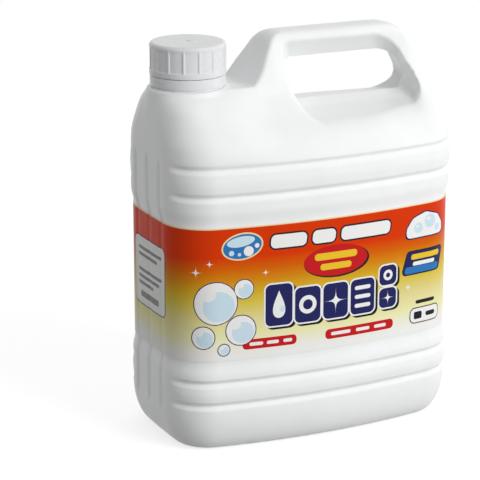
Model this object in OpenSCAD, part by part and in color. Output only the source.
// Dish soap jug: a blow-moulded bottle with a through handle, a screw cap over
// a tamper band, a sealing wad inside the cap and a label film round the body.
// Millimetres, +Z up, front towards -Y, origin at the centre of the base.

/* [Body] */
// Width across the two narrow sides
jug_w = 200; // [190:1:210]
// Depth from the middle of the front to the middle of the back
jug_d = 114.8; // [110:0.2:122]
// Height of the jug over its handle
jug_h = 256.5; // [244:0.5:290]
// How far the front and back bulge over the width
front_bow = 11.8; // [8:0.2:14]
// How far the narrow sides bulge over the depth
side_bow = 2.4; // [1.6:0.1:3.2]
// Radius of the upright corners
corner_r = 30.7; // [27:0.1:34]
// Height over which the sides curve in to the base
base_h = 28; // [24:1:30]
// How far the sides curve in at the base
base_in = 14; // [11:0.5:15]
// Wall thickness of the moulding
wall = 1.6; // [1.2:0.1:2]
// Depth of the hollow under the base
push_up = 3; // [2:0.5:5]
// Width of the foot rim that the jug stands on
foot_w = 7; // [5:0.5:10]

/* [Grooves and flutes] */
// Depth of the grooves across the front and back
groove_depth = 1.7; // [1:0.1:2]
// Half of a groove's height
groove_half = 3.4; // [2.8:0.1:3.8]
// How far the rib between two grooves stands out
rib_rise = 0.6; // [0:0.1:1]
// Drop from the ledge under the neck to the highest groove
groove_drop1 = 43; // [41.2:0.2:44.2]
// Drop from the ledge to the groove under it
groove_drop2 = 60.4; // [58.2:0.2:61.6]
// Height of the upper of the two low grooves
groove_z3 = 46.3; // [44:0.1:47]
// Height of the lowest groove
groove_z4 = 31.6; // [31.6:0.2:33]
// Depth of the three upright flutes on each narrow side
flute_depth = 1.3; // [0.6:0.1:1.6]
// Height where the flutes start
flute_z0 = 21; // [18:1:23]
// Drop from the ledge to the top of the flutes
flute_drop = 39.2; // [37.2:0.2:39.2]

/* [Label panel] */
// Depth of the panel that the label sits in
panel_depth = 1.5; // [1:0.1:2]
// Bottom of the flat part of the panel
panel_z0 = 60; // [59.5:0.5:62]
// Drop from the ledge to the top of the flat part of the panel
panel_drop = 78.2; // [76.6:0.2:79.2]
// Height of the slope above and below the panel
panel_slope = 9.5; // [8:0.5:9.5]
// Thickness of the label film
film_t = 0.3; // [0.2:0.05:0.5]
// Gap between the film and the panel, for the glue
film_gap = 0.05; // [0.05:0.05:0.15]
// Space on the panel above and below the label
label_margin = 1; // [1:0.5:4]

/* [Shoulder and handle] */
// Height of the handle over the ledge that the neck stands on
handle_h = 30.3; // [29.3:0.1:33]
// Drop from the ledge to the floor of the finger opening, at the parting line
hole_drop = 15; // [13.2:0.2:17]
// Height of the finger opening, at the parting line
hole_h = 27.4; // [25.8:0.2:28.2]
// Left end of the finger opening
hole_x0 = -5; // [-6:0.5:-2]
// Distance from the jug's right side to the finger opening
grip_w = 22; // [21.5:0.5:26]
// Radius of the opening's right-hand corners
hole_r = 12; // [10:0.5:12.5]
// Radius of the opening's left-hand corners
hole_r_left = 3.5; // [2:0.5:5]
// Half depth over which the opening widens steeply
bevel_y = 13; // [11:0.5:14]

/* [Neck and closure] */
// Distance from the jug's left side to the neck's axis
neck_in = 28.4; // [28:0.2:30]
// Outside radius of the neck below its thread
neck_r = 20.6; // [20:0.1:20.8]
// Radius of the neck's bore
bore_r = 18.4; // [17.5:0.1:18.8]
// Radius of the round turret under the neck
turret_r = 25.8; // [25:0.1:26.4]
// Radius of the support ring under the tamper band
ring_r = 22.6; // [22.2:0.1:23]
// Rise of the thread in one turn
thread_pitch = 5; // [4.6:0.1:5.2]
// Height of the thread ridges above their wall
thread_h = 0.9; // [0.7:0.1:1]
// Outside radius of the cap over its ribs
cap_r = 23.9; // [23.7:0.1:24.4]
// Bore radius of the cap's skirt
cap_bore_r = 22; // [21.9:0.1:22.1]
// Height of the cap
cap_h = 19.9; // [19.6:0.1:21]
// Thickness of the cap's top
cap_roof = 1.9; // [1.6:0.1:2.2]
// Number of upright ribs on the cap
cap_ribs = 15; // [12:1:30]
// How far the cap's ribs stand out
cap_rib_h = 0.5; // [0.3:0.1:0.7]
// Height of the tamper band
band_h = 6.2; // [5.8:0.1:6.6]
// Gap between the tamper band and the cap
band_gap = 0.7; // [0.6:0.1:1]
// Outside radius of the tamper band
band_r = 23.6; // [23.4:0.1:24]
// Thickness of the sealing wad
wad_t = 1; // [0.8:0.1:1.1]

/* [View] */
// Which piece to draw

/* [Hidden] */
eps = 0.01;
half_w = jug_w / 2;
half_d = jug_d / 2;
handle_top = jug_h;
ledge_z = jug_h - handle_h;
groove_z1 = ledge_z - groove_drop1;
groove_z2 = ledge_z - groove_drop2;
flute_z1 = ledge_z - flute_drop;
panel_z1 = ledge_z - panel_drop;
label_z0 = panel_z0 + label_margin;
label_h = panel_z1 - panel_z0 - 2 * label_margin;
hole_z0 = ledge_z - hole_drop;
hole_z1 = hole_z0 + hole_h;
hole_x1 = half_w - grip_w;
neck_x = half_w - neck_in;
ring_h = 1.3;
band_z = ledge_z + ring_h;
skirt_z = band_z + band_h + band_gap;
cap_top = skirt_z + cap_h;
seal_gap = 0.2;
rim_z = cap_top - cap_roof - wad_t - seal_gap;
neck_lead = 20;
cap_lead = 200;
grooves = [groove_z1, groove_z2, groove_z3, groove_z4];
ribs = [(groove_z1 + groove_z2) / 2, (groove_z3 + groove_z4) / 2];
rib_half = (groove_z1 - groove_z2) / 2 - groove_half * 0.4;
panel_edge = 0.5;

// Profiles of the shoulder and handle by height above the ledge: left end, right end,
// half depth, corner radii and bow. Below its first height each keeps its first value
left_at = [[-31.2, half_w], [-20.2, half_w - 0.5], [-10.2, half_w - 1.9], [-3.2, half_w - 4.4],
    [-0.6, half_w - 7.5], [0, half_w - 10]];
post_at = [[0.4, 38.4], [1.6, 35.8], [3.6, 33], [11.8, 27], [21.8, 21.4], [26.3, 18.6],
    [handle_h - 1.4, 15.8], [handle_h, 12]];
right_at = [[-42.2, half_w], [-36.2, half_w - 0.8], [-30.2, half_w - 1.8], [-24.2, half_w - 2.8],
    [-16.2, half_w - 3.4], [-10.2, half_w - 3.7], [-4.2, half_w - 4.2], [-0.2, half_w - 5.4],
    [3.8, half_w - 7.6], [12.8, half_w - 13.4], [17.8, half_w - 16.6], [22.5, half_w - 20.6],
    [25.8, half_w - 25], [28.4, half_w - 30.5], [handle_h - 0.5, half_w - 36],
    [handle_h, half_w - 42]];
depth_at = [[-43.2, half_d], [-40.2, half_d - 0.7], [-35.2, half_d - 2.6], [-30.2, half_d - 5.6],
    [-25.2, half_d - 10], [-20.2, half_d - 15.8], [-15.2, half_d - 22], [-10.2, half_d - 27.6],
    [-5.2, half_d - 32], [0.8, half_d - 35.6], [10.8, half_d - 40.4], [19.8, half_d - 44.2],
    [24.8, half_d - 45.6], [27.8, half_d - 47], [handle_h - 0.8, half_d - 49],
    [handle_h, half_d - 51.4]];
swell_at = [[-40.2, 0], [-25.2, 0.07], [-15.2, 0.2], [-10.2, 0.24], [-5.2, 0.2], [-2.4, 0.1],
    [0, 0]];
slim_at = [[-40.2, 0], [-30.2, 0.06], [-20.2, 0.16], [-10.2, 0.28], [-0.2, 0.32], [7.8, 0.27],
    [13.8, 0.2], [21.8, 0.05], [25.8, 0]];
neck_corner_at = [[-35.2, corner_r], [-20.2, corner_r - 4], [-10.2, corner_r - 8.7],
    [0, corner_r - 12.7]];
post_corner_at = [[13.8, 4.4], [25.8, 4], [handle_h, 2.6]];
grip_corner_at = [[-40.2, corner_r], [-30.2, corner_r - 3], [-20.2, corner_r - 7.7],
    [-10.2, corner_r - 13.7], [-0.2, corner_r - 16.7], [13.8, corner_r - 20.7], [21.8, 7],
    [25.8, 5], [handle_h, 2.6]];
bow_at = [[-40.2, front_bow], [-20.2, front_bow * 0.6], [-5.2, 1.2], [0, 0.4], [handle_h, 0.3]];
function profile(z, table) = lookup(z - ledge_z, table);

// A soft hill, 1 at t = 0 and 0 from t = 1 on
function hill(t) = abs(t) >= 1 ? 0 : 0.5 + 0.5 * cos(180 * t);
// A soft step from 0 to 1
function step01(t) = t <= 0 ? 0 : t >= 1 ? 1 : 0.5 - 0.5 * cos(180 * t);

function relief_at(z) =
    rib_rise * max([for (r = ribs) hill((z - r) / rib_half)])
    - groove_depth * max([for (g = grooves) hill((z - g) / groove_half)]);
function flute_at(z) = flute_depth * min(step01((z - flute_z0) / 7), step01((flute_z1 - z) / 7));
function base_at(z) = z >= base_h ? 0 : base_in * (1 - sqrt(1 - ((base_h - z) / base_h) ^ 2));
function panel_at(z) = panel_depth * min(step01((z - panel_z0) / panel_slope + 1),
    step01((panel_z1 - z) / panel_slope + 1));

// Centre of an upright corner's arc, tangent to the bowed front and side
function corner_centre(a, b, r, rf, rs, cy, n = 4) =
    let (cx = a - rs + sqrt((rs - r) ^ 2 - cy ^ 2),
        c2 = b - rf + sqrt((rf - r) ^ 2 - cx ^ 2))
    n == 0 ? [cx, c2] : corner_centre(a, b, r, rf, rs, c2, n - 1);

// One quarter of a level's outline: x, y, outward normal, groove weight, flute weight
function quarter(a, b, r, bow, sides, nc, nf) =
    let (rf = a ^ 2 / (2 * bow), rs = max(b ^ 2 / (2 * side_bow), 1.5 * b),
        c = corner_centre(a, b, r, rf, rs, b - r),
        a0 = asin(c[1] / (rs - r)), a1 = acos(c[0] / (rf - r)))
    concat(
        [for (s = sides) let (p = asin(min(s[0], 1) * c[1] / (rs - r)))
            [a - rs + rs * cos(p), rs * sin(p), cos(p), sin(p), 0, s[1]]],
        [for (k = [0:nc]) let (p = a0 + (a1 - a0) * k / nc)
            [c[0] + r * cos(p), c[1] + r * sin(p), cos(p), sin(p), step01((p - 14) / 22), 0]],
        [for (k = [1:nf]) let (p = a1 + (90 - a1) * k / nf)
            [rf * cos(p), b - rf + rf * sin(p), cos(p), sin(p), 1, 0]]);

// A level's whole outline, `inset` inside the outer face
function outline(z, inset, sides, nc, nf, raised = false, sunk = 1) =
    let (xr = profile(z, right_at), xl = -profile(z, raised ? post_at : left_at),
        a = (xr - xl) / 2, xm = (xr + xl) / 2, b = profile(z, depth_at), bow = profile(z, bow_at),
        rr = min(profile(z, grip_corner_at), b - 1),
        rl = min(profile(z, raised ? post_corner_at : neck_corner_at), b - 1),
        relief = relief_at(z), fl = flute_at(z) * sunk, sw = profile(z, swell_at),
        slim = profile(z, slim_at),
        off = -inset - base_at(z) - panel_at(z),
        pts = [for (p = quarter(a, b, rr, bow, sides, nc, nf))
            let (d = off + relief * p[4] - fl * p[5], x = xm + p[0] + p[2] * d)
            [x, (p[1] + p[3] * d) * (1 - slim * step01((x - 30) / 45))]],
        left = [for (p = quarter(a, b, rl, bow, sides, nc, nf))
            let (d = off + relief * p[4] - fl * p[5], x = xm - p[0] - p[2] * d)
            [x, (p[1] + p[3] * d) * (1 + sw * step01((-28 - x) / 40))]],
        n = len(pts) - 1)
    concat([for (k = [0:n - 1]) [pts[k][0], pts[k][1], z]],
        [for (k = [n:-1:1]) [left[k][0], left[k][1], z]],
        [for (k = [0:n - 1]) [left[k][0], -left[k][1], z]],
        [for (k = [n:-1:1]) [pts[k][0], -pts[k][1], z]]);

// A closed solid through rings with the same number of points
module skin_over(rings) {
    n = len(rings[0]);
    m = len(rings);
    polyhedron(
        points = [for (r = rings) each r],
        faces = concat(
            [[for (i = [0:n - 1]) i]],
            [for (j = [0:m - 2]) for (i = [0:n - 1]) let (k = (i + 1) % n) each
                [[j * n + i, (j + 1) * n + i, (j + 1) * n + k],
                 [j * n + i, (j + 1) * n + k, j * n + k]]],
            [[for (i = [n - 1:-1:0]) (m - 1) * n + i]]),
        convexity = 8);
}

// Stations up a narrow side, as a share of the flat, with the flutes' weight
side_fine = [[0, 1], [0.07, 0.5], [0.136, 0], [0.714, 0], [0.785, 0.5], [0.85, 1], [0.915, 0.5]];
side_plain = [[0, 0.8]];

base_levels = [for (a = [0:22.5:90]) base_h * (1 - cos(a))];
function groove_levels(c, ts) = [for (t = ts) c + t * groove_half];
function band_levels(low, high, ts) =
    concat(groove_levels(low, ts), [(low + high) / 2], groove_levels(high, ts));
panel_levels = [panel_z0 - panel_slope, panel_z0 - panel_slope / 2, panel_z0,
    panel_z1, panel_z1 + panel_slope / 2, panel_z1 + panel_slope];
function above_ledge(ds) = [for (d = ds) ledge_z + d];
shoulder_levels = above_ledge([-35.2, -30.2, -25.2, -20.2, -15.2, -10.2, -5.2, -2.4, -0.6, 0]);
handle_levels = above_ledge([0.4, 1.6, 3.6, 8.8, 14.8, 19.8, 23.8, 26.8, handle_h - 1.4,
    handle_h - 0.5, handle_h]);
groove_fine = [-1, -0.4, 0.4, 1];
outer_levels = concat(base_levels, band_levels(groove_z4, groove_z3, groove_fine), panel_levels,
    band_levels(groove_z2, groove_z1, groove_fine), shoulder_levels);
inner_levels = concat([4.7, 8, 14], band_levels(groove_z4, groove_z3, [-1, 0, 1]),
    [panel_z0 - panel_slope, panel_z0, panel_z1, panel_z1 + panel_slope],
    band_levels(groove_z2, groove_z1, [-1, 0, 1]),
    above_ledge([-33.2, -26.2, -18.2, -10.2, -3, -1.6]));
inner_handle_levels = above_ledge([-1.2, 3.6, 13.8, 21.8, 26.2, handle_h - 2.4]);

// Solid of the jug's outside, up to the ledge and on to the top of the handle
module jug_outside() skin_over(concat(
    [for (z = outer_levels) outline(z, 0, side_fine, 5, 3)],
    [for (z = handle_levels) outline(z, 0, side_fine, 5, 3, true)]));

// The hollow inside it
module jug_inside() skin_over(concat(
    [for (z = inner_levels) outline(z, wall, side_plain, 4, 3)],
    [for (z = inner_handle_levels)
        outline(z, wall * (z > handle_top - 5 ? 1.9 : 1), side_plain, 4, 3, true)]));

// The finger opening's outline at one depth, let out by `grow`. `d` holds how far it has
// widened there: left and right end, floor, roof, and the slant of its right-hand end
module hole_slab(y, d, grow) {
    left = hole_x0 - d[0];
    right = hole_x1 + d[1];
    low = hole_z0 - d[2];
    high = hole_z1 + d[3];
    r = hole_r - 1.2;
    translate([0, y, 0]) rotate([90, 0, 0]) linear_extrude(eps, center = true) hull() {
        translate([left + hole_r_left + d[5], low + hole_r_left])
            circle(hole_r_left + grow, $fn = 20);
        translate([left + hole_r_left, high - hole_r_left]) circle(hole_r_left + grow, $fn = 20);
        translate([right - r, low + r]) circle(r + grow, $fn = 32);
        translate([right - hole_r - d[4], high - hole_r]) circle(hole_r + grow, $fn = 32);
    }
}

// The finger opening: narrow at the parting line, wider towards both faces
module finger_hole(grow) {
    lip = [0, 0, 0, 0, 2.4, 0];
    mouth = [7.5, 3.4, 3, 13.7, 14, 0];
    far = [9, 5, 8, 13.7, 16, 14];
    for (s = [-1, 1]) {
        hull() {
            hole_slab(0, lip, grow);
            hole_slab(s * 1.2, lip, grow);
        }
        hull() {
            hole_slab(s * 1.2, lip, grow);
            hole_slab(s * bevel_y, mouth, grow);
        }
        hull() {
            hole_slab(s * bevel_y, mouth, grow);
            hole_slab(s * (half_d - 8), far, grow);
        }
    }
}

// A helical ridge: radius of its root, height, turns, first height and direction
module ridge(root, rise, turns, z0, lead, width) {
    steps = ceil(turns * 24);
    sgn = sign(rise);
    pts = [for (k = [0:steps]) let (a = 360 * turns * k / steps + lead,
            z = z0 + thread_pitch * turns * k / steps,
            e = min(1, min(k, steps - k) / 2), h = rise * max(e, 0.12))
        each [for (c = [[root - sgn * 0.35, -width / 2], [root + h, -width * 0.2],
                [root + h, width * 0.2], [root - sgn * 0.35, width / 2]])
            [c[0] * cos(a), c[0] * sin(a), z + c[1]]]];
    quads = [for (k = [0:steps - 1]) for (i = [0:3]) let (j = (i + 1) % 4)
        each [[4 * k + i, 4 * k + 4 + i, 4 * k + 4 + j], [4 * k + i, 4 * k + 4 + j, 4 * k + j]]];
    ends = [[0, 1, 2], [0, 2, 3],
        [4 * steps + 2, 4 * steps + 1, 4 * steps], [4 * steps + 3, 4 * steps + 2, 4 * steps]];
    faces = concat(quads, ends);
    polyhedron(pts, sgn < 0 ? faces : [for (f = faces) [f[2], f[1], f[0]]], convexity = 6);
}

module at_neck() translate([-neck_x, 0, 0]) children();

module neck_outside() {
    rotate_extrude($fn = 48) polygon([
        [0, ledge_z - 26.2], [turret_r + 1.4, ledge_z - 26.2], [turret_r + 1.2, ledge_z - 12.2],
        [turret_r + 0.6, ledge_z - 5.2],
        [turret_r, ledge_z - 1.6], [turret_r - 0.9, ledge_z - 0.2], [turret_r - 2, ledge_z + 0.3],
        [ring_r, ledge_z + 0.3], [ring_r, band_z], [neck_r, band_z], [neck_r, band_z + 2.6],
        [neck_r + 0.7, band_z + 3.2], [neck_r + 0.7, band_z + 3.8], [neck_r, band_z + 5],
        [neck_r, rim_z - 0.6], [neck_r - 0.6, rim_z], [0, rim_z]]);
    ridge(neck_r, thread_h, 1.6, skirt_z + 4.2, neck_lead, 2);
}

module neck_inside() rotate_extrude($fn = 48) polygon([
    [0, ledge_z - 25.2], [turret_r + 1.4 - wall, ledge_z - 25.2],
    [turret_r + 0.6 - wall, ledge_z - 7.2],
    [turret_r - wall - 0.6, ledge_z - 2.8], [bore_r, ledge_z - 0.8], [bore_r, rim_z + 1],
    [0, rim_z + 1]]);

// The shallow hollow under the base, inside the foot rim
module base_hollow() {
    r = 16;
    x = half_w - base_in - foot_w - r;
    y = half_d - base_in - foot_w - front_bow * 0.45 - r;
    hull() for (sx = [-1, 1]) for (sy = [-1, 1]) translate([sx * x, sy * y, -1]) {
        cylinder(r = r, h = 1 + eps, $fn = 32);
        cylinder(r = r - 6, h = push_up + 1, $fn = 32);
    }
}

module bottle() color([0.96, 0.965, 0.96]) difference() {
    union() {
        jug_outside();
        at_neck() neck_outside();
    }
    finger_hole(0);
    difference() {
        union() {
            jug_inside();
            at_neck() neck_inside();
        }
        finger_hole(wall);
    }
    base_hollow();
}

module label() color([0.93, 0.55, 0.15]) {
    low = [for (t = [0, film_t]) outline(label_z0, -film_gap - t, side_fine, 5, 3, false, 0)];
    high = [for (t = [0, film_t])
        [for (p = outline(label_z0, -film_gap - t, side_fine, 5, 3, false, 0))
            [p[0], p[1], label_z0 + label_h]]];
    n = len(low[0]);
    rings = [low[0], low[1], high[1], high[0]];
    polyhedron([for (r = rings) each r],
        [for (j = [0:3]) for (i = [0:n - 1])
            let (k = (i + 1) % n, a = j * n, b = ((j + 1) % 4) * n) each
            [[a + i, b + i, b + k], [a + i, b + k, a + k]]], convexity = 4);
}

module tamper_band() color([0.94, 0.945, 0.94]) at_neck() {
    rotate_extrude() polygon([
        [neck_r + 1.5, band_z], [band_r - 0.4, band_z], [band_r, band_z + 0.5],
        [band_r, band_z + band_h - 0.3], [band_r - 0.3, band_z + band_h],
        [neck_r + 1.5, band_z + band_h], [neck_r + 1.1, band_z + 2.4], [neck_r + 0.3, band_z + 2],
        [neck_r + 0.3, band_z + 1.2]]);
    for (k = [0:7]) rotate(k * 45 + 22.5)
        translate([band_r - 1, -0.6, band_z + band_h - eps]) cube([0.7, 1.2, 0.35]);
}

module cap_liner() color([0.9, 0.91, 0.93]) at_neck()
    translate([0, 0, cap_top - cap_roof - wad_t]) cylinder(r = cap_bore_r - 0.4, h = wad_t);

module cap() color([0.95, 0.955, 0.95]) at_neck() {
    panel_r = cap_r - cap_rib_h;
    difference() {
        rotate_extrude() difference() {
            union() {
                translate([0, skirt_z]) square([cap_r, 3.7]);
                translate([0, skirt_z + 3.5]) square([panel_r, cap_h - 5.7]);
                translate([0, cap_top - 4.4]) square([panel_r - 1.8, 4.4]);
                translate([panel_r - 2.2, cap_top - 2.2]) circle(2.2);
            }
            translate([0, skirt_z - 1]) square([cap_bore_r, cap_h - cap_roof + 1]);
        }
        translate([0, 0, cap_top - 0.4]) cylinder(r = 1.6, h = 1);
    }
    translate([0, 0, cap_top - 1]) cylinder(r = 0.7, h = 1);
    for (k = [0:cap_ribs - 1]) rotate(k * 360 / cap_ribs)
        hull() for (y = [-0.35, 0.35])
            translate([panel_r - 0.1, y, skirt_z + 3.6]) cylinder(r = 0.55, h = cap_h - 6.6);
    ridge(cap_bore_r, -thread_h, 1.25, skirt_z + 2.4 + thread_pitch / 2, cap_lead, 1.9);
}

bottle();
label();
tamper_band();
cap_liner();
cap();
